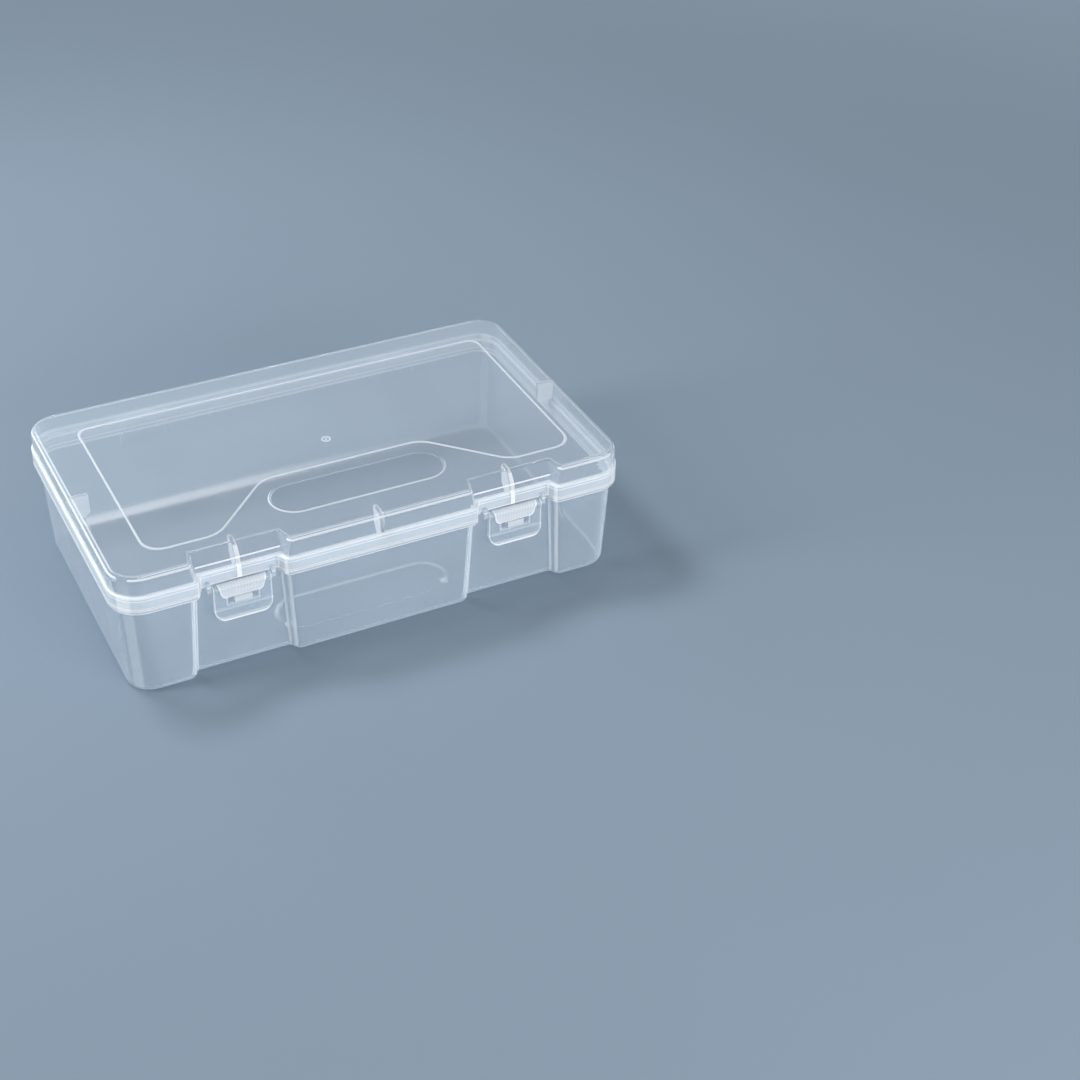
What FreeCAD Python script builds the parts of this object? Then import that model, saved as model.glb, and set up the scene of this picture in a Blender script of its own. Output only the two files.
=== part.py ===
import FreeCAD, Part
import math
import os

# A translucent craft storage box, closed. The origin is the middle of the underside,
# +X is the box's right, -Y its front and +Z up. Millimetres.

# Rim, the outer edge that the tub's flange and the lid's band share
rim_width = 240.0
rim_depth = 142.0
rim_corner = 14.0

# Heights
flange_bottom = 45.0
flange_thick = 2.4
seam_gap = 0.2
band_height = 6.4
crown_height = 9.5
lip_height = 4.1

# Walls
tub_wall = 1.4
tub_floor = 1.6
lid_wall = 1.4
lid_plate = 1.5
flange_overhang = 2.2
lip_clearance = 0.5
band_proud = 0.8
bottom_taper = 1.9

# Rounds
bottom_round = 3.0
floor_round = 1.5
crown_round = 3.0
crown_inner_round = 1.6
band_round = 0.6
flange_round = 0.8
tiny_round = 0.3

# Latch pockets in the front
pocket_side_margin = 35.6
pocket_mouth = 39.6
pocket_slope = 0.5
pocket_depth = 5.2
pocket_mouth_round = 3.5
pocket_round = 2.0
tub_mouth_round = 4.2
tub_pocket_round = 2.5
tub_pocket_taper = 1.2
tub_pocket_shallow = 0.8
crown_pocket_slope = 0.3
crown_pocket_lean = 4.3
crown_pocket_widen = 1.9
crown_pocket_knee = 3.4
crown_knee_round = 2.0
crown_pocket_round = 2.2

# Latch, its rod on the lid and its catch on the tub
latch_width = 26.2
latch_drop = 15.7
latch_thick = 1.5
latch_corner = 5.0
latch_lip_height = 5.3
latch_lip_reach = 1.4
rod_set_back = 4.1
rod_drop = 2.2
rod_radius = 1.1
rod_fit = 0.05
latch_barrel_wall = 0.8
latch_slot = 1.7
lug_thick = 1.6
lug_gap = 0.6
lug_margin = 1.2
window_width = 13.8
window_height = 3.6
window_drop = 6.6
tongue_width = 8.0
tongue_clearance = 0.3
tongue_proud = 0.6
tongue_bevel = 0.4
boss_width = 19.0
boss_height = 2.6
boss_flare = 1.0
boss_round = 1.8
boss_clearance = 0.4
boss_groove_width = 1.2
boss_groove_depth = 0.9
boss_groove_pitch = 4.6
boss_groove_count = 4

# Rear hinges
hinge_out = 3.3
hinge_rod_radius = 1.5
hinge_fit = 0.05
clip_wall = 1.05
clip_length = 18.0
clip_slot = 2.3
clip_arm_thick = 1.8
ear_thick = 2.4
ear_gap = 0.4
ear_radius = 2.4
bracket_height = 5.5
bracket_shy = 2.5
heel_reach = 4.8
heel_thick = 1.6
heel_width = 10.0

# Ribs inside the lid
rib_thick = 1.8
rib_clearance = 0.5
rib_bottom = 47.7
rib_shoulder = 54.2
centre_rib_reach = 10.2
pocket_rib_reach = 15.8
side_rib_reach = 10.3
side_rib_bottom = 49.8
side_rib_shoulder = 52.6
rib_foot = 1.8
rib_round = 1.0

# Forms on the lid's top and the tub's floor
bead_base = 1.2
bead_top = 0.5
bead_height = 0.45
panel_side_margin = 19.7
panel_back_margin = 21.0
panel_front_margin = 16.8
panel_centre_margin = 48.0
panel_step_margin = 31.5
panel_step_run = 30.6
panel_front_corner = 12.0
panel_back_corner = 7.0
panel_step_round = 18.0
stadium_end_reach = 3.3
stadium_width = 24.0
stadium_front_margin = 17.2
stadium_height = 0.8
gate_front_margin = 67.0
gate_radius = 2.2
gate_ring = 0.7
gate_nub = 0.6
gate_height = 0.3

# Places worked out from the sizes above
half_width = rim_width / 2
half_depth = rim_depth / 2
front_y = -half_depth
back_y = half_depth
flange_top = flange_bottom + flange_thick
lid_bottom = flange_top + seam_gap
band_top = lid_bottom + band_height
lid_top = band_top + crown_height
lid_under = lid_top - lid_plate
lip_top = flange_top + lip_height
skirt_thick = flange_overhang - lip_clearance
skirt_inner_top = lip_top + lip_clearance
latch_x = half_width - pocket_side_margin - pocket_mouth / 2
hinge_x = latch_x
rod_y = front_y + rod_set_back
rod_z = lid_bottom - rod_drop
latch_front = rod_y - latch_thick
hinge_y = back_y + hinge_out
hinge_z = lid_bottom
clip_bore = hinge_rod_radius + hinge_fit
clip_radius = clip_bore + clip_wall
latch_bore = rod_radius + rod_fit
latch_barrel = latch_bore + latch_barrel_wall
panel_half = half_width - panel_side_margin
panel_step_outer = panel_half - panel_step_margin
panel_step_inner = panel_step_outer - panel_step_run
stadium_length = 2 * (panel_step_inner + stadium_end_reach)


def xy(z):
    """Placement of a plan drawing at height z."""
    return lambda u, v: FreeCAD.Vector(u, v, z)


def yz(x):
    """Placement of a side-view drawing, u along Y and v along Z."""
    return lambda u, v: FreeCAD.Vector(x, u, v)


def xz(y):
    """Placement of a front-view drawing, u along X and v along Z."""
    return lambda u, v: FreeCAD.Vector(u, y, v)


def unit(a, b):
    """Unit vector from a to b in the drawing plane, and the distance."""
    du, dv = b[0] - a[0], b[1] - a[1]
    length = math.hypot(du, dv)
    return du / length, dv / length, length


def rounded_wire(corners, place):
    """Closed wire through corners (u, v, radius), each corner rounded by a tangent arc."""
    count = len(corners)
    spans = []
    for i, (u, v, radius) in enumerate(corners):
        bu, bv, _ = unit((u, v), corners[i - 1])
        fu, fv, _ = unit((u, v), corners[(i + 1) % count])
        half = math.acos(max(-1.0, min(1.0, bu * fu + bv * fv))) / 2
        reach = radius / math.tan(half)
        mu, mv, _ = unit((0, 0), (bu + fu, bv + fv))
        sag = radius / math.sin(half) - radius
        start = place(u + bu * reach, v + bv * reach)
        middle = place(u + mu * sag, v + mv * sag)
        end = place(u + fu * reach, v + fv * reach)
        spans.append((start, middle, end, radius))
    edges = []
    for i, (start, middle, end, radius) in enumerate(spans):
        if radius > 0:
            edges.append(Part.Arc(start, middle, end).toShape())
        following = spans[(i + 1) % count][0]
        if (following - end).Length > 1e-6:
            edges.append(Part.LineSegment(end, following).toShape())
    return Part.Wire(edges)


def offset_corners(corners, inset):
    """Sharp polygon (u, v), counter-clockwise, with every side moved inwards by inset."""
    count = len(corners)
    sides = []
    for i in range(count):
        a, b = corners[i], corners[(i + 1) % count]
        du, dv, _ = unit(a, b)
        sides.append((-dv, du, -dv * a[0] + du * a[1] + inset))
    moved = []
    for i in range(count):
        n0, n1 = sides[i - 1], sides[i]
        det = n0[0] * n1[1] - n0[1] * n1[0]
        u = (n0[2] * n1[1] - n0[1] * n1[2]) / det
        v = (n0[0] * n1[2] - n0[2] * n1[0]) / det
        moved.append((u, v))
    return moved


def plain_outline(inset, radius):
    """Rim rectangle without pockets, inset all round."""
    w, d = half_width - inset, half_depth - inset
    return [(-w, -d, radius), (w, -d, radius), (w, d, radius), (-w, d, radius)]


def pocket_polygon(inset, taper=0.0, shallow=0.0):
    """Sharp rim rectangle with a trapezoid pocket at each latch, inset all round."""
    depth = pocket_depth - shallow
    mouth = pocket_mouth / 2 + taper
    floor = mouth - pocket_slope * depth
    sharp = [(-half_width, front_y)]
    for centre in (-latch_x, latch_x):
        sharp += [(centre - mouth, front_y), (centre - floor, front_y + depth)]
        sharp += [(centre + floor, front_y + depth), (centre + mouth, front_y)]
    sharp += [(half_width, front_y), (half_width, back_y), (-half_width, back_y)]
    return offset_corners(sharp, inset)


def pocket_radii(corner, mouth, floor):
    """Radii that go with the corners of pocket_polygon."""
    pocket = [mouth, floor, floor, mouth]
    return [corner] + pocket + pocket + [corner] * 3


def rounded_corners(sharp, radii):
    """Corners (u, v, radius) from a sharp polygon and its radii."""
    return [(u, v, radius) for (u, v), radius in zip(sharp, radii)]


def prism(corners, place_from, place_to):
    """Straight solid on a rounded outline between two placements of the same plane."""
    face = Part.Face(rounded_wire(corners, place_from))
    return face.extrude(place_to(0, 0) - place_from(0, 0))


def upright(corners, z0, z1):
    """Straight solid on a plan outline between two heights."""
    return prism(corners, xy(z0), xy(z1))


def drafted(low, z0, high, z1, radii):
    """Solid with flat drafted sides between two sharp polygons, its side edges then rounded."""
    count = len(low)
    bottom = [FreeCAD.Vector(u, v, z0) for u, v in low]
    top = [FreeCAD.Vector(u, v, z1) for u, v in high]
    under = bottom[::-1]
    faces = [Part.Face(Part.makePolygon(under + under[:1])), Part.Face(Part.makePolygon(top + top[:1]))]
    for i in range(count):
        j = (i + 1) % count
        faces.append(Part.Face(Part.makePolygon([bottom[i], bottom[j], top[j], top[i], bottom[i]])))
    shell = Part.makeShell(faces)
    shell.sewShape()
    solid = Part.makeSolid(shell)
    for radius in sorted(set(radii)):
        if radius > 0:
            corners = [(bottom[i] + top[i]) * 0.5 for i in range(count) if radii[i] == radius]
            edges = [e for e in solid.Edges if any((e.CenterOfMass - c).Length < 1e-3 for c in corners)]
            solid = solid.makeFillet(radius, edges)
    return solid


def block(x0, x1, y0, y1, z0, z1):
    """Box between two corners."""
    return Part.makeBox(x1 - x0, y1 - y0, z1 - z0, FreeCAD.Vector(x0, y0, z0))


def bar(x0, x1, y, z, radius):
    """Round bar along X."""
    return Part.makeCylinder(radius, x1 - x0, FreeCAD.Vector(x0, y, z), FreeCAD.Vector(1, 0, 0))


def edges_at(shape, z):
    """Edges that lie wholly at height z."""
    near = 1e-4
    return [e for e in shape.Edges if abs(e.BoundBox.ZMin - z) < near and abs(e.BoundBox.ZMax - z) < near]


def rounded_at(shape, z, radius):
    """Shape with all its edges at height z rounded."""
    return shape.makeFillet(radius, edges_at(shape, z))


def crossing_edges(shape, first, second, above):
    """Edges of shape where the skins of two older solids cross, above a height."""
    found = []
    for edge in shape.Edges:
        middle = Part.Vertex(edge.valueAt((edge.FirstParameter + edge.LastParameter) / 2))
        skins = (first.Shells[0], second.Shells[0])
        if edge.BoundBox.ZMax > above and all(s.distToShape(middle)[0] < 1e-4 for s in skins):
            found.append(edge)
    return found


def fused(shapes):
    """One solid from overlapping shapes."""
    return shapes[0].multiFuse(shapes[1:]).removeSplitter()


def stadium_pad(z, grow):
    """Low racetrack pad that rises from height z and narrows by its own height."""
    radius = stadium_width / 2 + grow
    reach = stadium_length / 2 - stadium_width / 2
    middle = front_y + stadium_front_margin + stadium_width / 2
    top = radius - stadium_height
    ends = [Part.makeCone(radius, top, stadium_height, FreeCAD.Vector(x, middle, z)) for x in (-reach, reach)]
    profile = [(middle - radius, z, 0), (middle + radius, z, 0),
               (middle + top, z + stadium_height, 0), (middle - top, z + stadium_height, 0)]
    return fused(ends + [prism(profile, yz(-reach), yz(reach))])


def catch(centre):
    """Grooved boss and tongue on a pocket's floor, which the latch's window closes over."""
    boss_front = rod_y + boss_clearance
    wall_y = front_y + flange_overhang + pocket_depth + tub_wall / 2
    window_top = rod_z - window_drop + window_height / 2
    boss_bottom = window_top - tongue_clearance
    boss_top = boss_bottom + boss_height
    top_half = boss_width / 2 + boss_flare / 2
    low_half = boss_width / 2 - boss_flare / 2
    shape = prism(
        [(centre - low_half, boss_bottom, boss_round), (centre + low_half, boss_bottom, boss_round),
         (centre + top_half, boss_top, tiny_round), (centre - top_half, boss_top, tiny_round)],
        xz(boss_front), xz(wall_y))
    first = centre - boss_groove_pitch * (boss_groove_count - 1) / 2
    for i in range(boss_groove_count):
        middle = first + boss_groove_pitch * i
        shape = shape.cut(block(middle - boss_groove_width / 2, middle + boss_groove_width / 2,
                                boss_front, boss_front + boss_groove_depth, boss_bottom, boss_top))
    window_bottom = window_top - window_height
    tip = latch_front - tongue_proud
    low = window_bottom + tongue_clearance
    tongue = prism(
        [(tip, low + tongue_bevel, 0), (tip + tongue_bevel, low, 0), (wall_y, low, 0),
         (wall_y, boss_bottom, 0), (tip + tongue_bevel, boss_bottom, 0),
         (tip, boss_bottom - tongue_bevel, 0)],
        yz(centre - tongue_width / 2), yz(centre + tongue_width / 2))
    return [shape, tongue]


def hinge_bracket(centre):
    """Two ears and a round rod behind the flange, on a block that also stops the opened lid."""
    inner = clip_length / 2 + ear_gap
    outer = inner + ear_thick
    wall_y = back_y - flange_overhang - tub_wall
    stop_y = hinge_y - bracket_shy
    low = flange_bottom - bracket_height
    pieces = [block(centre - outer, centre + outer, wall_y, stop_y, low, flange_bottom)]
    for x0 in (centre - outer, centre + inner):
        ear = prism(
            [(wall_y, low, 0), (stop_y, low, 0), (hinge_y + ear_radius, hinge_z - ear_radius / 2, 0),
             (hinge_y, hinge_z, 0), (back_y, flange_top, 0), (wall_y, flange_top, 0)],
            yz(x0), yz(x0 + ear_thick))
        pieces += [ear, bar(x0, x0 + ear_thick, hinge_y, hinge_z, ear_radius)]
    pieces.append(bar(centre - outer, centre + outer, hinge_y, hinge_z, hinge_rod_radius))
    return pieces


def base_tub():
    """Drafted tub with flange, lip, catches, floor stadium and hinge brackets."""
    low_inset = flange_overhang + bottom_taper
    corner = rim_corner - flange_overhang
    taper, shallow = tub_pocket_taper, tub_pocket_shallow
    outer = drafted(pocket_polygon(low_inset, taper, shallow), 0, pocket_polygon(flange_overhang), lip_top,
                    pocket_radii(corner, tub_mouth_round, tub_pocket_round))
    outer = rounded_at(outer, 0, bottom_round)
    flange_pocket = flange_overhang + tub_wall / 2
    flange = upright(rounded_corners(pocket_polygon(0, 0, -flange_pocket),
                                     pocket_radii(rim_corner, pocket_mouth_round, pocket_round)),
                     flange_bottom, flange_top)
    flange = rounded_at(flange, flange_bottom, flange_round)
    inner = drafted(pocket_polygon(low_inset + tub_wall, taper, shallow), tub_floor,
                    pocket_polygon(flange_overhang + tub_wall), lip_top,
                    pocket_radii(corner - tub_wall, tub_mouth_round - tub_wall, tub_pocket_round + tub_wall))
    inner = rounded_at(inner, tub_floor, floor_round)
    pieces = [outer, flange]
    for centre in (-latch_x, latch_x):
        pieces += catch(centre)
    for centre in (-hinge_x, hinge_x):
        pieces += hinge_bracket(centre)
    inner = inner.cut(stadium_pad(tub_floor, stadium_height))
    return fused(pieces).cut(inner).cut(stadium_pad(0, 0)).removeSplitter()


def crown_pocket(centre, grow):
    """Space in front of a latch pocket above the band: leaning sides, and a floor that leaves
    the band upright and leans back from a rounded knee. Grown by a wall for the inside."""
    floor_y = front_y + pocket_depth + band_proud
    knee_z = band_top + crown_pocket_knee
    lean = crown_pocket_lean / (lid_top - knee_z)
    low, high = lid_bottom, lid_top + lid_plate
    ahead, deep = front_y - lid_plate, floor_y + lean * (high - knee_z)
    step = band_proud * math.hypot(1, pocket_slope)
    at_band = pocket_mouth / 2 - pocket_slope * band_proud + step + grow

    def section(z):
        widen = crown_pocket_widen * (z - band_top) / crown_height
        halves = [at_band + widen - crown_pocket_slope * (y - front_y - band_proud)
                  for y in (ahead, deep + rim_corner)]
        return [(centre - halves[0], ahead), (centre + halves[0], ahead),
                (centre + halves[1], deep + rim_corner), (centre - halves[1], deep + rim_corner)]

    wedge = drafted(section(low), low, section(high), high, [0, 0, 0, 0])
    side = [(ahead, low), (floor_y, low), (floor_y, knee_z), (deep, high), (ahead, high)]
    radii = [0, 0, crown_knee_round - grow, 0, 0]
    profile = rounded_corners(offset_corners(side, -grow), radii)
    return wedge.common(prism(profile, yz(centre - pocket_mouth), yz(centre + pocket_mouth)))


def rib_outline(reach, lip_inner, bottom, shoulder, sign, edge):
    """Side view of a fin: seated on the lid's underside and wall, hanging inside the tub's lip."""
    top = lid_top
    ledge = lip_top + rib_clearance
    clear = lip_inner + rib_clearance
    points = [(0, top, 0), (0, ledge, 0), (clear, ledge, 0), (clear, bottom, 0),
              (clear + rib_foot, bottom, rib_round), (reach, shoulder, rib_round), (reach, top, 0)]
    return [(edge + sign * u, v, r) for u, v, r in points]


def ribs():
    """Five fins: one behind each latch pocket, one in the front middle and one on each side."""
    lip_inner = flange_overhang + tub_wall
    half = rib_thick / 2
    front = rib_outline(centre_rib_reach, lip_inner, rib_bottom, rib_shoulder, 1, front_y)
    pocket = rib_outline(pocket_rib_reach, lip_inner + pocket_depth, rib_bottom, rib_shoulder, 1, front_y)
    right = rib_outline(side_rib_reach, lip_inner, side_rib_bottom, side_rib_shoulder, -1, half_width)
    left = rib_outline(side_rib_reach, lip_inner, side_rib_bottom, side_rib_shoulder, 1, -half_width)
    pieces = [prism(front, yz(-half), yz(half))]
    for side in (right, left):
        pieces.append(prism(side, xz(-half), xz(half)))
    for centre in (-latch_x, latch_x):
        pieces.append(prism(pocket, yz(centre - half), yz(centre + half)))
    return pieces


def panel_outline():
    """Sharp outline of the lid's panel: a rectangle that steps back round the stadium."""
    w = panel_half
    back = back_y - panel_back_margin
    side_front = front_y + panel_front_margin
    centre_front = front_y + panel_centre_margin
    sharp = [(-w, side_front), (-panel_step_outer, side_front), (-panel_step_inner, centre_front),
             (panel_step_inner, centre_front), (panel_step_outer, side_front), (w, side_front),
             (w, back), (-w, back)]
    radii = [panel_front_corner] + [panel_step_round] * 4 + [panel_front_corner] + [panel_back_corner] * 2
    return sharp, radii


def panel_bead():
    """Raised line round the panel, wide at its foot and narrow at its top."""
    sharp, radii = panel_outline()

    def frustum(foot, top):
        low, high = offset_corners(sharp, -foot), offset_corners(sharp, -top)
        return drafted(low, lid_top, high, lid_top + bead_height, radii)

    return frustum(bead_base / 2, bead_top / 2).cut(frustum(-bead_base / 2, -bead_top / 2))


def gate_mark():
    """Small ring and nub left by the moulding gate near the lid's middle."""
    centre = FreeCAD.Vector(0, front_y + gate_front_margin, lid_top)
    ring = Part.makeCylinder(gate_radius, gate_height, centre)
    ring = ring.cut(Part.makeCylinder(gate_radius - gate_ring, gate_height, centre))
    return [ring, Part.makeCylinder(gate_nub, gate_height, centre)]


def latch_rod(centre):
    """Round rod across a pocket, held below the band by two lugs."""
    inner = latch_width / 2 + lug_gap
    outer = inner + lug_thick
    skirt_y = front_y + pocket_depth + skirt_thick
    reach = rod_radius + lug_margin
    pieces = [bar(centre - outer, centre + outer, rod_y, rod_z, rod_radius)]
    for x0 in (centre - outer, centre + inner):
        pieces.append(block(x0, x0 + lug_thick, rod_y - rod_radius, skirt_y - lip_clearance,
                            rod_z - rod_radius, lid_bottom + reach))
    return pieces


def hinge_clip(centre):
    """Snap-on clip round a hinge rod, with its arm to the band and its stop heel."""
    half = clip_length / 2
    barrel = bar(centre - half, centre + half, hinge_y, hinge_z, clip_radius)
    arm = block(centre - half, centre + half, back_y - skirt_thick / 2, hinge_y,
                hinge_z + clip_radius - clip_arm_thick, hinge_z + clip_radius)
    heel = block(centre - heel_width / 2, centre + heel_width / 2, hinge_y, hinge_y + heel_reach,
                 hinge_z - heel_thick / 2, hinge_z + heel_thick / 2)
    bore = bar(centre - half, centre + half, hinge_y, hinge_z, clip_bore)
    slot = block(centre - half, centre + half, hinge_y - clip_slot / 2, hinge_y + clip_slot / 2,
                 hinge_z - clip_radius, hinge_z)
    return [barrel, arm, heel], [bore, slot]


def lid_shell():
    """Shallow lid: band, crown with latch pockets, ribs, bead, stadium, rods and hinge clips."""
    band_radii = pocket_radii(rim_corner, pocket_mouth_round, pocket_round)
    band = upright(rounded_corners(pocket_polygon(0), band_radii), lid_bottom, band_top)
    band = rounded_at(band, band_top, band_round)
    crown = upright(plain_outline(band_proud, rim_corner - band_proud), band_top - band_round, lid_top)
    crown = rounded_at(crown, lid_top, crown_round)
    crown_inset = band_proud + lid_wall
    hollow = upright(plain_outline(crown_inset, rim_corner - crown_inset),
                     lid_bottom + band_height / 2, lid_under)
    hollow = rounded_at(hollow, lid_under, crown_inner_round)
    skirt_radii = pocket_radii(rim_corner - skirt_thick, pocket_mouth_round - skirt_thick,
                               pocket_round + skirt_thick)
    skirt_hollow = upright(rounded_corners(pocket_polygon(skirt_thick), skirt_radii),
                           lid_bottom, skirt_inner_top)
    for centre in (-latch_x, latch_x):
        pocket = crown_pocket(centre, 0)
        carved = crown.cut(pocket)
        crown = carved.makeFillet(crown_pocket_round, crossing_edges(carved, crown, pocket, band_top))
        hollow = hollow.cut(crown_pocket(centre, lid_wall))
    pieces = [band, crown, panel_bead(), stadium_pad(lid_top, 0)] + gate_mark()
    for centre in (-latch_x, latch_x):
        pieces += latch_rod(centre)
    bores = []
    for centre in (-hinge_x, hinge_x):
        added, removed = hinge_clip(centre)
        pieces += added
        bores += removed
    shape = fused(pieces)
    space = hollow.fuse(skirt_hollow)
    for rib in ribs():
        space = space.cut(rib)
    shape = shape.cut(space).cut(stadium_pad(lid_under, -lid_plate / 2))
    for bore in bores:
        shape = shape.cut(bore)
    return shape.removeSplitter()


def latch(centre):
    """Latch plate that clips on the lid's rod, with a window for the catch and a finger lip."""
    half = latch_width / 2
    low = rod_z - latch_drop
    bend = low + latch_lip_height
    back = latch_front + latch_thick
    lip_front = latch_front - latch_lip_reach
    side = [(lip_front, low, 0), (lip_front + latch_thick, low, 0), (back, bend, 0), (back, rod_z, 0),
            (latch_front, rod_z, 0), (latch_front, bend, 0)]
    plate = prism(side, yz(centre - half), yz(centre + half))
    face = [(centre - half, low, latch_corner), (centre + half, low, latch_corner),
            (centre + half, rod_z + latch_barrel, 0), (centre - half, rod_z + latch_barrel, 0)]
    plate = plate.common(prism(face, xz(lip_front), xz(back)))
    middle = rod_z - window_drop
    plate = plate.cut(block(centre - window_width / 2, centre + window_width / 2, latch_front, back,
                            middle - window_height / 2, middle + window_height / 2))
    shape = plate.fuse(bar(centre - half, centre + half, rod_y, rod_z, latch_barrel))
    shape = shape.cut(bar(centre - half, centre + half, rod_y, rod_z, latch_bore))
    return shape.cut(block(centre - half, centre + half, rod_y, rod_y + latch_barrel,
                           rod_z - latch_slot / 2, rod_z + latch_slot / 2)).removeSplitter()


def main():
    os.makedirs("parts", exist_ok=True)
    nodes = {
        "base_tub": base_tub(),
        "lid_shell": lid_shell(),
        "left_latch": latch(-latch_x),
        "right_latch": latch(latch_x),
    }
    for name, shape in nodes.items():
        shape.exportStep("parts/" + name + ".step")
        box = shape.BoundBox
        print(name, "solids", len(shape.Solids), "valid", shape.isValid(), "volume", round(shape.Volume, 1),
              "box", [round(v, 2) for v in (box.XMin, box.YMin, box.ZMin, box.XMax, box.YMax, box.ZMax)])


if __name__ == "__main__":
    main()
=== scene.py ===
import bpy
import numpy as np
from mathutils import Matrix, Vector

bl_info = {
    "name": "Craft Storage Box",
    "version": (1, 0, 0),
    "blender": (4, 5, 0),
    "location": "View3D > Sidebar > Craft Box",
    "description": "Finishes the milky clear storage box and sets it on its studio floor",
    "category": "Object",
}

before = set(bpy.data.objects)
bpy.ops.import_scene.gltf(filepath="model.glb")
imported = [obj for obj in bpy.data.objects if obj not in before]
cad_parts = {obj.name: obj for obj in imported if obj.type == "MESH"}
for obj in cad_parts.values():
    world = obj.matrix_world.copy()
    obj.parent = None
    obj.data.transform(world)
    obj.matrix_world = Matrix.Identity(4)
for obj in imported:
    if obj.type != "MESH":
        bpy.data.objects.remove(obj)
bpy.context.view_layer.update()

# Heights on the frame that the finishes follow, metres
STADIUM_RECESS = 0.0008
FLOOR_TOP, FLOOR_ROUND = 0.0016, 0.0034
FOOT_HIGH = 0.0020
LATCH_LOW = 0.0297
LATCH_BEND = 0.0350
WINDOW_LOW, WINDOW_HIGH = 0.0370, 0.0406
PAD_LOW = 0.0402
FLANGE_LOW = 0.0450
SEAM = 0.0475
LIP_TOP = 0.0515
SKIRT_TOP = 0.0520
BAND_HIGH = 0.0540
KNEE = 0.0574
LID_FLAT = 0.0635
FIN_TOP = LID_FLAT - 0.0018

# Places and half widths on the frame, metres
HALF_WIDTH, HALF_DEPTH = 0.1200, 0.0710
CROWN_STEP = 0.0036
BLOCK_INNER = 0.0950
POCKET_BACK, POCKET_SKIN = -0.0550, -0.0643
POCKET_HALF = 0.0185
FIN_FRONT, FIN_BACK = -0.0672, -0.0545
FIN_HALF = 0.00095
RIB_INNER, RIB_HALF = 0.1085, 0.0010
STADIUM_Y, STADIUM_STRAIGHT, STADIUM_ROUND = -0.0418, 0.0295, 0.0120
# The painted highlight spots near the ends of the stadium recess: how far out and how far across they
# stand
SPOT_SPAN = (0.0370, 0.0388)
SPOT_ACROSS = (-0.0070, -0.0054)
REAR_CORNER = 0.0640
# Ends of the painted highlight streak along the rear floor corner
REAR_LEFT, REAR_RIGHT = -0.09, 0.10
LATCH_X = 0.0646
LATCH_HALF, LATCH_CORNER = 0.0131, 0.0050
WINDOW_HALF = 0.0069
TONGUE_HALF, TONGUE_BACK = 0.0041, -0.0660
PAD_HALF, PAD_CORNER, PAD_FLARE = 0.0092, 0.0022, 0.25
GROOVE_PITCH = 0.0007

# Widths over which a mask fades, metres
CRISP, FINE, SOFT = 0.0002, 0.0003, 0.0005
RECESS_FADE, SPOT_FADE, REAR_FADE = 0.0014, 0.0016, 0.0010
BEAD_FADE, TOP_EDGE_FADE = 0.00006, 0.00005

# Where a mask starts and is full: facing of the skin, or metres from the stadium's middle line
SIDE_FACING, RIB_FACING = (0.35, 0.80), (0.40, 0.80)
CORNER_FACING, WALL_FACING = (0.42, 0.485), (0.05, 0.30)
RECESS_REAR = (-0.006, 0.006)

# Cloudiness added to one skin by each mask of the same name; the masks on the upright rounds, at the knee,
# along the crown's round, at the spots in the stadium recess and along the rear floor corner paint
# highlights as white cloud
TUB_CLOUD = {
    "flange_edge": 0.48, "seam": 0.30, "lip": 0.35, "pocket_side": 0.10, "tongue": 0.60, "corner": 0.18,
    "bay_corner": 0.24, "recess": 0.60, "spot": 0.80, "rear": 1.25, "foot": 0.34,
}
LID_CLOUD = {
    "band_top": 0.24, "seam": 0.30, "skirt": 0.25, "crown": 0.10, "pocket_side": 0.04, "corner": 0.08,
    "band_corner": 0.20, "rib": 0.85, "fin": 0.60, "fin_side": 0.35, "knee": 0.75, "shoulder": 0.55,
    "top_edge": 0.20, "bead": 0.48,
}
LATCH_CLOUD = {
    "outline": 0.55, "lower_edge": 0.45, "window": 0.40, "pad": 0.55, "pad_edge": 0.25, "groove": 0.06,
    "bend": 0.25,
}
MOST_CLOUD = 0.97

# Plastic: noise scales per metre, bump strengths and depths in metres, bending of light, and shares
FLOW_SCALE, FINE_SCALE, GRAIN_SCALE = 22.0, 260.0, 1500.0
FLOW_STRETCH = (1.0, 2.2, 2.2)
WAVE_STRENGTH, WAVE_DEPTH = 0.005, 0.0004
GRAIN_STRENGTH, GRAIN_DEPTH = 0.02, 0.00005
PLASTIC_IOR = 1.47
MOTTLE_FLOW, MOTTLE_FINE, MOTTLE_BASE = 0.75, 0.25, 0.5
EDGE_POWER = 2.0
MILK_GAIN = 1.2
THROUGH_THIN, THROUGH_DROP = 0.5, 0.4
ROUGH_FINE = 0.03
SHINE_FLAT, SHINE_EDGE, SHINE_POWER = 0.035, 0.6, 5.0
WHITE = (1.0, 1.0, 1.0, 1.0)

# Stage: floor disc and its even far part, lamps and camera, metres
STAGE_FLOOR = -0.0004
FLOOR_RADIUS, FLOOR_RINGS, FLOOR_SPOKES = 9.0, 24, 96
FLOOR_MOTTLE, FLOOR_SCALE, FLOOR_ROUGHNESS = (0.97, 1.03), 3.0, 0.6
FAR_START, FAR_FULL, FAR_GLOW = 0.40, 0.95, 1.05
ROOM_WHITE = (1.0, 0.99, 0.975, 1.0)
COOL_WHITE, SIDE_WHITE, WARM_WHITE = (0.985, 0.99, 1.0), (0.98, 0.99, 1.0), (1.0, 0.99, 0.98)
LAMP_AIM = (0.0, 0.0, 0.03)
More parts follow.
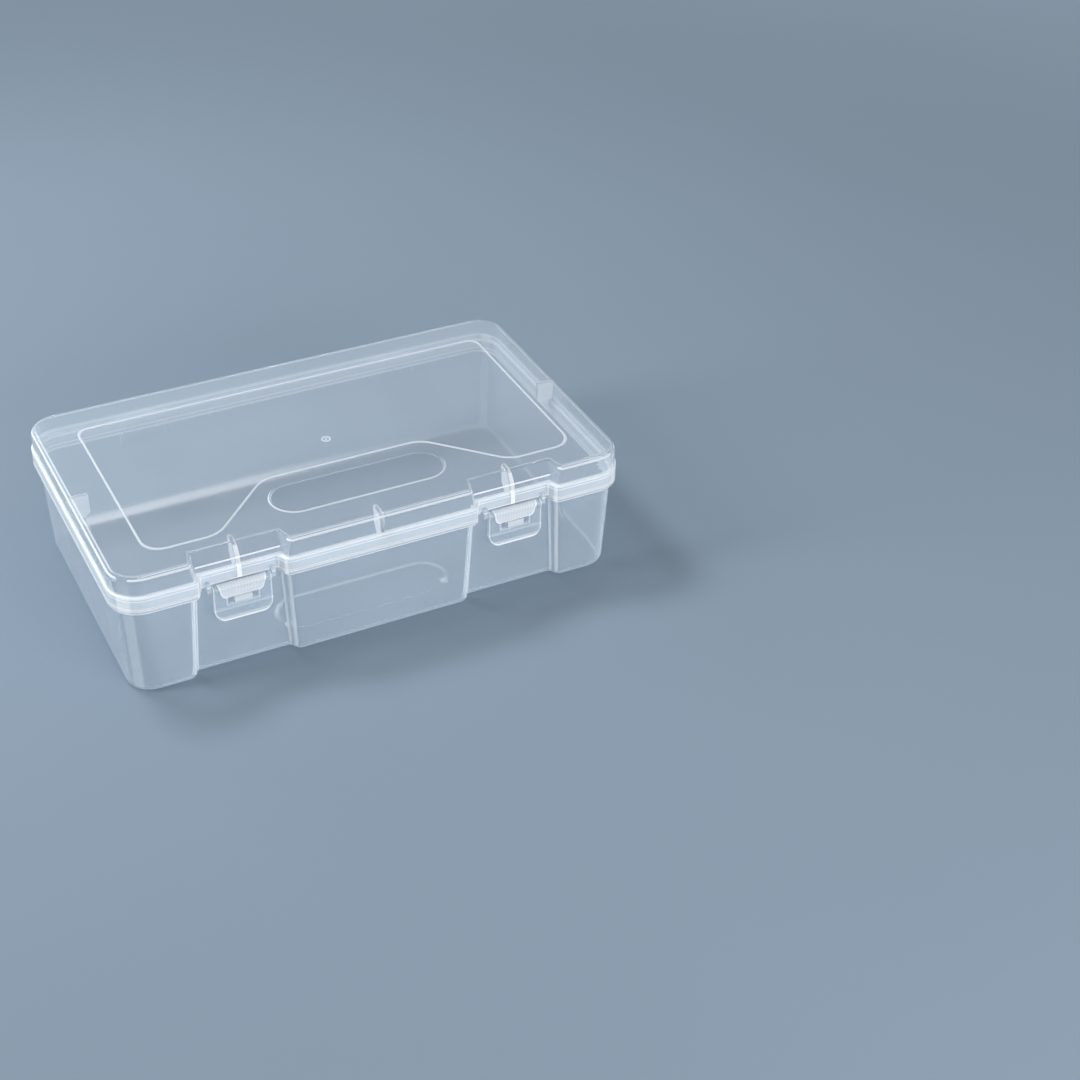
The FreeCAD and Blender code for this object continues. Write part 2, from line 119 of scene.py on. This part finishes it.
# Each lamp's setting, width and height, place, colour, and whether gloss shows it
LAMPS = (
    ("key", (0.32, 0.24), (-0.33, 0.38, 0.88), COOL_WHITE, False),
    ("front", (1.0, 0.46), (0.2, -1.0, 0.30), COOL_WHITE, False),
    ("gloss", (0.75, 0.24), (0.2, -1.0, 0.22), COOL_WHITE, True),
    ("side", (0.22, 0.68), (-0.75, 0.08, 0.45), SIDE_WHITE, False),
    ("back", (0.5, 0.4), (-0.5, 1.3, 0.8), WARM_WHITE, False),
)
CLIP_START, CLIP_END = 0.01, 60.0
SKIN_BOUNCES, LIGHT_BOUNCES = 24, 18


class BoxPlastic(bpy.types.PropertyGroup):
    """Colours and cloudiness of the moulded plastic."""

    milk: bpy.props.FloatVectorProperty(
        name="Milk", description="Colour of thick cloud in the plastic", subtype="COLOR",
        size=3, min=0.0, max=1.0, default=(0.925, 0.945, 0.965))
    mist: bpy.props.FloatVectorProperty(
        name="Mist", description="Colour of thin cloud in the plastic", subtype="COLOR",
        size=3, min=0.0, max=1.0, default=(0.82, 0.905, 0.97))
    clear: bpy.props.FloatVectorProperty(
        name="Clear", description="Tint of what is seen through one skin of a wall", subtype="COLOR",
        size=3, min=0.0, max=1.0, default=(0.980, 0.985, 0.990))
    shade: bpy.props.FloatVectorProperty(
        name="Shade", description="Light that one skin of a wall lets through", subtype="COLOR",
        size=3, min=0.0, max=1.0, default=(0.928, 0.940, 0.952))
    tub_haze: bpy.props.FloatProperty(
        name="Tub haze", description="Cloudiness of one skin of the tub's wall", subtype="FACTOR",
        min=0.0, max=1.0, default=0.132)
    lid_haze: bpy.props.FloatProperty(
        name="Lid haze", description="Cloudiness of one skin of the lid's wall", subtype="FACTOR",
        min=0.0, max=1.0, default=0.048)
    latch_haze: bpy.props.FloatProperty(
        name="Latch haze", description="Cloudiness of one skin of a latch", subtype="FACTOR",
        min=0.0, max=1.0, default=0.20)
    rim_haze: bpy.props.FloatProperty(
        name="Rim haze", description="Cloudiness added in the thick rim", subtype="FACTOR",
        min=0.0, max=1.0, default=0.38)


class BoxStage(bpy.types.PropertyGroup):
    """Floor, light and camera."""

    floor: bpy.props.FloatVectorProperty(
        name="Floor", description="Colour of the floor and backdrop", subtype="COLOR",
        size=3, min=0.0, max=1.0, default=(0.214, 0.275, 0.343))
    sky: bpy.props.FloatProperty(
        name="Room light", description="Strength of the even light of the room", min=0.0, default=0.36)
    key: bpy.props.FloatProperty(
        name="Key light", description="Power of the soft lamp above", min=0.0, default=6.4, unit="POWER")
    front: bpy.props.FloatProperty(
        name="Front light", description="Power of the soft lamp in front", min=0.0, default=7.0,
        unit="POWER")
    gloss: bpy.props.FloatProperty(
        name="Gloss light", description="Power of the soft lamp that the gloss shows", min=0.0,
        default=1.8, unit="POWER")
    side: bpy.props.FloatProperty(
        name="Side light", description="Power of the soft lamp at the left", min=0.0, default=4.7,
        unit="POWER")
    back: bpy.props.FloatProperty(
        name="Back light", description="Power of the soft lamp behind", min=0.0, default=2.0,
        unit="POWER")
    eye: bpy.props.FloatVectorProperty(
        name="Camera place", description="Where the camera stands", subtype="XYZ", unit="LENGTH",
        size=3, default=(-0.25952, -0.70629, 0.54243))
    turn: bpy.props.FloatVectorProperty(
        name="Camera turn", description="How the camera is turned", subtype="EULER", unit="ROTATION",
        size=3, default=(0.948645, -0.022055, -0.470218))
    lens: bpy.props.FloatProperty(
        name="Lens", description="Focal length in millimetres", min=10.0, default=64.618)


class Painter:
    """Adds shader nodes to one tree, and makes masks from a skin's place and facing."""

    def __init__(self, tree):
        tree.nodes.clear()
        self.tree = tree

    def node(self, kind, **sockets):
        """New node with a value or a link on each named socket; i0, i1 and so on count the sockets."""
        made = self.tree.nodes.new(kind)
        for key, value in sockets.items():
            counted = key[0] == "i" and key[1:].isdigit()
            socket = made.inputs[int(key[1:]) if counted else key.replace("_", " ")]
            if isinstance(value, bpy.types.NodeSocket):
                self.tree.links.new(value, socket)
            else:
                socket.default_value = value
        return made

    def calc(self, operation, first, second=0.0, clamp=False):
        """Result of a Math node."""
        made = self.node("ShaderNodeMath", i0=first, i1=second)
        made.operation = operation
        made.use_clamp = clamp
        return made.outputs[0]

    def mix(self, share, first, second):
        """Shader that is first where share is 0 and second where share is 1."""
        return self.node("ShaderNodeMixShader", i0=share, i1=first.outputs[0], i2=second.outputs[0])

    def every(self, *masks):
        """Product of masks."""
        result = masks[0]
        for mask in masks[1:]:
            result = self.calc("MULTIPLY", result, mask)
        return result

    def total(self, *shares):
        """Sum of (weight, mask) pairs."""
        result = self.calc("MULTIPLY", *shares[0])
        for weight, mask in shares[1:]:
            result = self.calc("ADD", result, self.calc("MULTIPLY", weight, mask))
        return result

    def weighed(self, weights, **masks):
        """Sum of named masks, each times the weight of that name."""
        return self.total(*[(weights[name], mask) for name, mask in masks.items()])

    def ramp(self, value, low, high, first, last):
        """first below low, last above high, smooth between."""
        made = self.node("ShaderNodeMapRange", i0=value, i1=low, i2=high, i3=first, i4=last)
        made.interpolation_type = "SMOOTHSTEP"
        return made.outputs[0]

    def above(self, value, low, high):
        """0 below low, 1 above high, smooth between."""
        return self.ramp(value, low, high, 0.0, 1.0)

    def below(self, value, low, high):
        """1 below low, 0 above high, smooth between."""
        return self.ramp(value, low, high, 1.0, 0.0)

    def within(self, value, low, high, soft):
        """1 where value lies between low and high, with soft shoulders outside."""
        return self.every(self.above(value, low - soft, low), self.below(value, high, high + soft))

    def past(self, value, limit):
        """How far value lies above limit, or 0."""
        return self.calc("MAXIMUM", self.calc("SUBTRACT", value, limit), 0.0)

    def under(self, value, limit):
        """How far value lies below limit, or 0."""
        return self.calc("MAXIMUM", self.calc("SUBTRACT", limit, value), 0.0)

    def reach(self, across, down):
        """Length of a step made of two steps at a right angle."""
        return self.calc("SQRT", self.calc("ADD", self.every(across, across), self.every(down, down)))

    def seen(self):
        """1 for the eye and for what gloss and clear skins show of it."""
        path = self.node("ShaderNodeLightPath").outputs
        return self.calc("MAXIMUM", path["Is Camera Ray"],
                         self.calc("MAXIMUM", path["Is Glossy Ray"], path["Is Transmission Ray"]))

    def noise(self, scale, detail, stretch=(1.0, 1.0, 1.0)):
        """Noise on object coordinates, stretched along the axes."""
        mapping = self.node("ShaderNodeMapping", Vector=self.place, Scale=stretch)
        made = self.node("ShaderNodeTexNoise", Vector=mapping.outputs[0], Scale=scale, Detail=detail)
        return made.outputs["Fac"]

    def survey(self):
        """Object coordinates, distances from the middle plane and from the nearer latch's middle, and how
        far the skin faces sideways and endways."""
        where = self.node("ShaderNodeTexCoord")
        self.place = where.outputs["Object"]
        self.x, self.y, self.z = self.node("ShaderNodeSeparateXYZ", Vector=self.place).outputs
        faces = self.node("ShaderNodeSeparateXYZ", Vector=where.outputs["Normal"]).outputs
        self.span = self.calc("ABSOLUTE", self.x)
        self.sideways = self.calc("ABSOLUTE", faces[0])
        self.endways = self.calc("ABSOLUTE", faces[1])
        self.aside = self.calc("ABSOLUTE", self.calc("SUBTRACT", self.span, LATCH_X))


def plastic(name, finish, haze, cloudier, roughness, edge):
    """Milky clear moulded plastic: a skin that bends light, with a cloud that thickens where the skin
    is seen edge on and where the masks say, flow marks that vary the cloud, fine grain and a soft gloss.
    The masks of the tub and lid also paint highlights as white cloud. Lamps and bounced light pass the
    clear share of the skin."""
    material = bpy.data.materials.new(name)
    material.use_nodes = True
    p = Painter(material.node_tree)
    p.survey()
    flow = p.noise(FLOW_SCALE, 3.0, FLOW_STRETCH)
    fine = p.noise(FINE_SCALE, 2.0)
    grain = p.noise(GRAIN_SCALE, 1.0)

    waves = p.node("ShaderNodeBump", Strength=WAVE_STRENGTH, Distance=WAVE_DEPTH, Height=flow).outputs[0]
    skin = p.node("ShaderNodeBump", Strength=GRAIN_STRENGTH, Distance=GRAIN_DEPTH, Height=grain,
                  Normal=waves).outputs[0]
    facing = p.node("ShaderNodeLayerWeight", Blend=0.5).outputs["Facing"]

    # Cloud: haze that varies by the flow marks, the masks, and more where the skin is seen edge on; some
    # masks are painted highlights
    mottle = p.calc("ADD", p.total((MOTTLE_FLOW, flow), (MOTTLE_FINE, fine)), MOTTLE_BASE)
    # thick: the masks' cloud, with the painted highlights of the tub and lid included
    thick = cloudier(p)
    cloud = p.total((haze, mottle), (1.0, thick), (edge, p.calc("POWER", facing, EDGE_POWER)))
    cloud = p.calc("MINIMUM", cloud, MOST_CLOUD)

    # Milky share: thick cloud and the painted highlights are whiter and let less light through, under a
    # soft gloss
    milk = p.node("ShaderNodeMixRGB", i0=p.calc("MULTIPLY", thick, MILK_GAIN, clamp=True),
                  i1=(*finish.mist, 1.0), i2=(*finish.milk, 1.0)).outputs[0]
    body = p.node("ShaderNodeBsdfDiffuse", Color=milk, Normal=skin)
    glow = p.node("ShaderNodeBsdfTranslucent", Color=milk, Normal=skin)
    deep = p.calc("SUBTRACT", THROUGH_THIN, p.calc("MULTIPLY", THROUGH_DROP, thick), clamp=True)
    rough = p.calc("ADD", roughness, p.calc("MULTIPLY", fine, ROUGH_FINE))
    polish = p.node("ShaderNodeBsdfAnisotropic", Color=WHITE, Roughness=rough, Normal=skin)
    shine = p.calc("ADD", SHINE_FLAT, p.calc("MULTIPLY", SHINE_EDGE, p.calc("POWER", facing, SHINE_POWER)))
    milky = p.mix(shine, p.mix(deep, body, glow), polish)

    # Clear share: bends what is seen, and lets lamps and bounced light straight through
    glass = p.node("ShaderNodeBsdfGlass", Color=(*finish.clear, 1.0), Roughness=rough, IOR=PLASTIC_IOR,
                   Normal=waves)
    through = p.node("ShaderNodeBsdfTransparent", Color=(*finish.shade, 1.0))
    path = p.node("ShaderNodeLightPath").outputs
    lit = p.calc("MAXIMUM", path["Is Shadow Ray"], path["Is Diffuse Ray"])
    clear = p.mix(lit, glass, through)

    p.node("ShaderNodeOutputMaterial", Surface=p.mix(cloud, clear, milky).outputs[0])
    return material


def between_blocks(p):
    """The middle of the box, between its left and right corner blocks."""
    return p.below(p.span, BLOCK_INNER, BLOCK_INNER + 0.005)


def pocket_sides(p):
    """Skins at the front that face sideways: pocket sides, ribs and lugs."""
    return p.every(p.below(p.y, POCKET_BACK, POCKET_BACK + 0.002), between_blocks(p),
                   p.above(p.sideways, *SIDE_FACING))


def upright_corners(p):
    """Skins that face a corner, half sideways and half endways."""
    return p.above(p.every(p.sideways, p.endways), *CORNER_FACING)


def tub_cloud(rim):
    """Cloud of the tub: its thick rim and whiter lines along edges and small rounds, and painted
    highlights: white cloud on the upright rounds, spots in the stadium recess and a streak along the rear
    floor corner.
    """
    def cloudier(p):
        """Cloudiness and painted highlights that the masks add."""
        across = p.calc("SUBTRACT", p.y, STADIUM_Y)
        ring = p.reach(p.past(p.span, STADIUM_STRAIGHT), across)
        corner = upright_corners(p)
        underside = p.below(p.z, STADIUM_RECESS, STADIUM_RECESS + 0.0001)
        return p.weighed(
            {**TUB_CLOUD, "rim": rim},
            rim=p.within(p.z, FLANGE_LOW, BAND_HIGH, SOFT),
            flange_edge=p.within(p.z, FLANGE_LOW, FLANGE_LOW + 0.0006, FINE),
            seam=p.within(p.z, SEAM - 0.0006, SEAM, FINE),
            lip=p.within(p.z, LIP_TOP - 0.0005, LIP_TOP, CRISP),
            pocket_side=pocket_sides(p),
            tongue=p.every(p.below(p.aside, TONGUE_HALF, TONGUE_HALF + CRISP),
                           p.below(p.y, TONGUE_BACK - SOFT, TONGUE_BACK),
                           p.within(p.z, WINDOW_LOW, WINDOW_HIGH, CRISP)),
            # Painted highlights: white cloud on the tub's upright rounds, and more on those between the
            # corner blocks
            corner=corner,
            bay_corner=p.every(corner, between_blocks(p)),
            recess=p.every(p.within(ring, STADIUM_ROUND - 0.0008, STADIUM_ROUND, RECESS_FADE),
                           p.above(across, *RECESS_REAR), underside),
            # Painted highlight: white spots near the ends of the stadium recess
            spot=p.every(p.within(p.span, *SPOT_SPAN, SPOT_FADE),
                         p.within(across, *SPOT_ACROSS, SPOT_FADE), underside),
            # Painted highlight: a white streak along the round between the tub's floor and its rear wall
            rear=p.every(p.above(p.y, REAR_CORNER - 0.0022, REAR_CORNER - 0.0010),
                         p.within(p.z, FLOOR_TOP, FLOOR_ROUND, REAR_FADE),
                         p.below(p.x, REAR_LEFT, REAR_RIGHT)),
            foot=p.every(p.below(p.z, STADIUM_RECESS, FOOT_HIGH),
                         p.above(ring, STADIUM_ROUND + 0.0005, STADIUM_ROUND + 0.0010),
                         p.above(p.calc("MAXIMUM", p.sideways, p.endways), *WALL_FACING)))
    return cloudier


def lid_cloud(rim):
    """Cloud of the lid: its thick rim, ribs, crown walls and whiter lines along edges, and painted
    highlights: white cloud on the upright rounds and lines along the knees in the pockets and along the
    crown's round.
    """
    def cloudier(p):
        """Cloudiness and painted highlights that the masks add."""
        depth = p.calc("ABSOLUTE", p.y)
        corner = upright_corners(p)
        fin = p.every(p.below(p.calc("MINIMUM", p.span, p.aside), FIN_HALF, FIN_HALF + 0.00015),
                      p.within(p.y, FIN_FRONT, FIN_BACK, SOFT),
                      p.below(p.z, FIN_TOP, FIN_TOP + 0.0004))
        pocket = p.every(p.below(p.aside, POCKET_HALF, POCKET_HALF + 0.001),
                         p.below(p.y, POCKET_BACK - 0.001, POCKET_BACK))
        outer = p.above(p.calc("MAXIMUM", p.calc("SUBTRACT", p.span, HALF_WIDTH),
                               p.calc("SUBTRACT", depth, HALF_DEPTH)), -CROWN_STEP, CRISP - CROWN_STEP)
        return p.weighed(
            {**LID_CLOUD, "rim": rim},
            rim=p.within(p.z, FLANGE_LOW, BAND_HIGH, SOFT),
            band_top=p.within(p.z, BAND_HIGH - 0.0007, BAND_HIGH + 0.0001, FINE),
            seam=p.within(p.z, SEAM, SEAM + 0.0006, FINE),
            skirt=p.within(p.z, SKIRT_TOP - 0.0001, SKIRT_TOP + 0.0003, CRISP),
            crown=p.within(p.z, BAND_HIGH, LID_FLAT - 0.0010, SOFT),
            pocket_side=pocket_sides(p),
            # Painted highlights: white cloud on the lid's upright rounds, and more on those of the band
            corner=corner,
            band_corner=p.every(corner, p.below(p.z, BAND_HIGH, BAND_HIGH + SOFT)),
            rib=p.every(p.below(depth, RIB_HALF, RIB_HALF + CRISP),
                        p.above(p.span, RIB_INNER, RIB_INNER + SOFT), p.above(p.endways, *RIB_FACING)),
            fin=fin,
            fin_side=p.every(fin, p.sideways),
            # Painted highlight: a white line along the knee of the crown wall in each latch pocket
            knee=p.every(pocket, p.below(p.y, POCKET_SKIN - CRISP, POCKET_SKIN),
                         p.within(p.z, KNEE - 0.00025, KNEE + 0.00025, CRISP)),
            # Painted highlight: a white line along the crown's round outside the pockets
            shoulder=p.every(outer, p.calc("SUBTRACT", 1.0, pocket),
                             p.within(p.z, LID_FLAT - 0.0016, LID_FLAT - 0.0010, CRISP)),
            top_edge=p.within(p.z, LID_FLAT - 0.00040, LID_FLAT - 0.00010, TOP_EDGE_FADE),
            bead=p.within(p.z, LID_FLAT + 0.00008, LID_FLAT + 0.00060, BEAD_FADE))
    return cloudier


def latch_cloud(p):
    """Cloud of a latch: its rounded outline, the grooved pad over the catch, and its finger bend."""
    outline = p.reach(p.past(p.aside, LATCH_HALF - LATCH_CORNER), p.under(p.z, LATCH_LOW + LATCH_CORNER))
    flare = p.calc("MULTIPLY", PAD_FLARE, p.calc("SUBTRACT", p.z, PAD_LOW))
    pad = p.reach(p.past(p.calc("SUBTRACT", p.aside, flare), PAD_HALF - PAD_CORNER),
                  p.under(p.z, PAD_LOW + PAD_CORNER))
    inside = p.below(pad, PAD_CORNER - CRISP, PAD_CORNER)
    groove = p.calc("PINGPONG", p.aside, GROOVE_PITCH)
    beyond = p.calc("MAXIMUM", p.calc("SUBTRACT", p.aside, WINDOW_HALF),
                    p.calc("SUBTRACT", WINDOW_LOW, p.z))
    return p.weighed(
        LATCH_CLOUD,
        outline=p.above(outline, LATCH_CORNER - 0.0007, LATCH_CORNER - 0.0004),
        lower_edge=p.below(p.z, LATCH_LOW + 0.0009, LATCH_LOW + 0.0013),
        window=p.every(p.below(beyond, 0.0005, 0.0008), p.below(p.z, WINDOW_HIGH - 0.0006, WINDOW_HIGH)),
        pad=inside,
        pad_edge=p.every(inside, p.above(pad, PAD_CORNER - 0.0009, PAD_CORNER - 0.0006)),
        groove=p.every(inside, p.below(groove, 0.0001, 0.0004)),
        bend=p.within(p.z, LATCH_BEND - 0.0004, LATCH_BEND + 0.0002, FINE))


def dress(names, material):
    """Puts a material on the slots of CAD nodes."""
    for name in names:
        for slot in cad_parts[name].material_slots:
            slot.material = material


class BOX_OT_tub(bpy.types.Operator):
    """Finish the tub"""

    bl_idname = "craft_box.tub"
    bl_label = "Tub"

    def execute(self, context):
        finish = context.scene.box_plastic
        dress(["base_tub"], plastic("tub_milky_plastic", finish, finish.tub_haze,
                                    tub_cloud(finish.rim_haze), roughness=0.06, edge=0.40))
        return {"FINISHED"}


class BOX_OT_lid(bpy.types.Operator):
    """Finish the lid"""

    bl_idname = "craft_box.lid"
    bl_label = "Lid"

    def execute(self, context):
        finish = context.scene.box_plastic
        dress(["lid_shell"], plastic("lid_milky_plastic", finish, finish.lid_haze,
                                     lid_cloud(finish.rim_haze), roughness=0.05, edge=0.35))
        return {"FINISHED"}


class BOX_OT_latches(bpy.types.Operator):
    """Finish the two latches"""

    bl_idname = "craft_box.latches"
    bl_label = "Latches"

    def execute(self, context):
        finish = context.scene.box_plastic
        dress(["left_latch", "right_latch"], plastic("latch_milky_plastic", finish, finish.latch_haze,
                                                     latch_cloud, roughness=0.04, edge=0.40))
        return {"FINISHED"}


def floor_material(color):
    """Matt sweep paper: even colour with a faint mottle, which far from the box looks evenly lit."""
    material = bpy.data.materials.new("floor_paper")
    material.use_nodes = True
    p = Painter(material.node_tree)
    p.survey()
    dark, light = [(*[c * share for c in color], 1.0) for share in FLOOR_MOTTLE]
    tone = p.node("ShaderNodeMixRGB", i0=p.noise(FLOOR_SCALE, 3.0), i1=dark, i2=light).outputs[0]
    paper = p.node("ShaderNodeBsdfDiffuse", Color=tone, Roughness=FLOOR_ROUGHNESS)
    even = p.node("ShaderNodeEmission", Color=tone, Strength=FAR_GLOW)
    far = p.every(p.above(p.reach(p.x, p.y), FAR_START, FAR_FULL), p.seen())
    p.node("ShaderNodeOutputMaterial", Surface=p.mix(far, paper, even).outputs[0])
    return material


def disc(radius, rings, spokes):
    """Flat disc on the floor: point (i, j) stands at radius r_i, which grows with the square of i,
    and at the j-th of equal angles."""
    r = radius * np.linspace(0.0, 1.0, rings + 1)[1:] ** 2
    a = np.linspace(0.0, 2 * np.pi, spokes, endpoint=False)
    height = np.full((rings, spokes), STAGE_FLOOR)
    grid = np.stack([np.outer(r, np.cos(a)), np.outer(r, np.sin(a)), height], -1)
    points = np.concatenate([[[0.0, 0.0, STAGE_FLOOR]], grid.reshape(-1, 3)])
    index = 1 + np.arange(rings * spokes).reshape(rings, spokes)
    around = np.roll(index, -1, axis=1)
    hub = np.stack([np.zeros(spokes, int), index[0], around[0]], -1)
    quads = np.stack([index[:-1], index[1:], around[1:], around[:-1]], -1).reshape(-1, 4)
    return points, hub.tolist() + quads.tolist()


def mesh_object(name, points, faces):
    """Mesh object at the origin from arrays of points and faces."""
    mesh = bpy.data.meshes.new(name)
    mesh.from_pydata(points, [], faces)
    mesh.validate()
    made = bpy.data.objects.new(name, mesh)
    bpy.context.scene.collection.objects.link(made)
    return made


def lamp(name, power, size, place, color, mirrored):
    """Rectangular soft lamp at place that looks at the box; gloss shows it where mirrored."""
    light = bpy.data.lights.new(name, "AREA")
    light.shape = "RECTANGLE"
    light.size, light.size_y = size
    light.energy = power
    light.color = color
    made = bpy.data.objects.new(name, light)
    made.location = place
    made.rotation_euler = (Vector(LAMP_AIM) - Vector(place)).to_track_quat("-Z", "Y").to_euler()
    made.visible_glossy = mirrored
    made.visible_transmission = False
    bpy.context.scene.collection.objects.link(made)


def room(sky, color):
    """Even light from all round; the eye, gloss and clear skins see the backdrop's colour instead."""
    world = bpy.data.worlds.new("room")
    world.use_nodes = True
    p = Painter(world.node_tree)
    even = p.node("ShaderNodeBackground", Color=ROOM_WHITE, Strength=sky)
    back = p.node("ShaderNodeBackground", Color=(*color, 1.0), Strength=1.0)
    p.node("ShaderNodeOutputWorld", Surface=p.mix(p.seen(), even, back).outputs[0])
    bpy.context.scene.world = world


class BOX_OT_stage(bpy.types.Operator):
    """Lay the floor, hang the lamps and set the camera"""

    bl_idname = "craft_box.stage"
    bl_label = "Stage"

    def execute(self, context):
        scene = context.scene
        s = scene.box_stage
        floor = mesh_object("floor", *disc(FLOOR_RADIUS, FLOOR_RINGS, FLOOR_SPOKES))
        floor.data.materials.append(floor_material(s.floor))
        for setting, size, place, color, mirrored in LAMPS:
            lamp(f"{setting}_lamp", getattr(s, setting), size, place, color, mirrored)
        room(s.sky, s.floor)
        camera = bpy.data.objects.new("camera", bpy.data.cameras.new("camera"))
        camera.location = s.eye
        camera.rotation_euler = s.turn
        camera.data.lens = s.lens
        camera.data.clip_start = CLIP_START
        camera.data.clip_end = CLIP_END
        scene.collection.objects.link(camera)
        scene.camera = camera
        scene.view_settings.view_transform = "Standard"
        scene.cycles.transparent_max_bounces = SKIN_BOUNCES
        scene.cycles.max_bounces = LIGHT_BOUNCES
        scene.cycles.transmission_bounces = LIGHT_BOUNCES
        scene.cycles.caustics_reflective = False
        scene.cycles.caustics_refractive = False
        return {"FINISHED"}


class BOX_PT_panel(bpy.types.Panel):
    """Steps that finish the storage box"""

    bl_idname = "BOX_PT_panel"
    bl_label = "Craft Box"
    bl_space_type = "VIEW_3D"
    bl_region_type = "UI"
    bl_category = "Craft Box"

    def draw(self, context):
        for settings in (context.scene.box_plastic, context.scene.box_stage):
            column = self.layout.column()
            for field in settings.__annotations__:
                column.prop(settings, field)
        for operator in OPERATORS:
            self.layout.operator(operator.bl_idname)


OPERATORS = (BOX_OT_tub, BOX_OT_lid, BOX_OT_latches, BOX_OT_stage)
CLASSES = (BoxPlastic, BoxStage) + OPERATORS + (BOX_PT_panel,)


def register():
    for item in CLASSES:
        bpy.utils.register_class(item)
    bpy.types.Scene.box_plastic = bpy.props.PointerProperty(type=BoxPlastic)
    bpy.types.Scene.box_stage = bpy.props.PointerProperty(type=BoxStage)


def unregister():
    del bpy.types.Scene.box_stage
    del bpy.types.Scene.box_plastic
    for item in reversed(CLASSES):
        bpy.utils.unregister_class(item)


def main():
    register()
    bpy.ops.craft_box.tub()
    bpy.ops.craft_box.lid()
    bpy.ops.craft_box.latches()
    bpy.ops.craft_box.stage()


if __name__ == "__main__":
    main()
